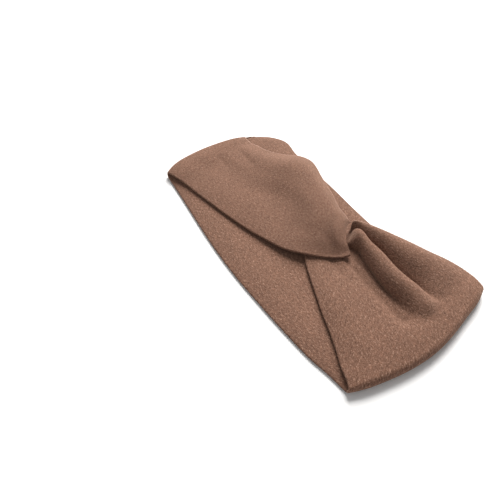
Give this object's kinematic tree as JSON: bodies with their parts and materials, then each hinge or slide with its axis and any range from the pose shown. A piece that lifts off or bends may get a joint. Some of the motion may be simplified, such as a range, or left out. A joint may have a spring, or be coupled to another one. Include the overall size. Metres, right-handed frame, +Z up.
{
  "type": "spa headband",
  "caption": "Wide brushed-knit headband with a twisted front knot that holds hair back during a facial or massage.",
  "frame": {"origin": "middle of the folded band's footprint, on the surface that it lies on", "axes": "+X along the folded band from the left front panel's end fold to the right one's, +Y across it to the upper edge, +Z up out of the surface"},
  "size_m": [0.2318, 0.1213, 0.0179],
  "materials": {
    "brushed_knit_outer": "taupe-brown melange knit, brushed, matt",
    "brushed_knit_inner": "the same knit on the head side, matt",
    "seam_allowance": "folded knit edge with overlock thread, matt"
  },
  "bodies": {
    "back": {"back_outer_layer": "brushed_knit_outer", "back_inner_layer": "brushed_knit_inner", "back_seam_lower": "seam_allowance", "back_seam_upper": "seam_allowance"},
    "front": {"left_front_outer_layer": "brushed_knit_outer", "left_front_inner_layer": "brushed_knit_inner", "left_front_seam_lower": "seam_allowance", "left_front_seam_upper": "seam_allowance", "right_front_outer_layer": "brushed_knit_outer", "right_front_inner_layer": "brushed_knit_inner", "right_front_seam_lower": "seam_allowance", "right_front_seam_upper": "seam_allowance", "knot_seam": "seam_allowance"}
  },
  "joints": [
    {"name": "head_opening", "type": "slide", "parent": "back", "child": "front", "axis": [0, 0, 1], "range_m": [0, 0.055]}
  ]
}
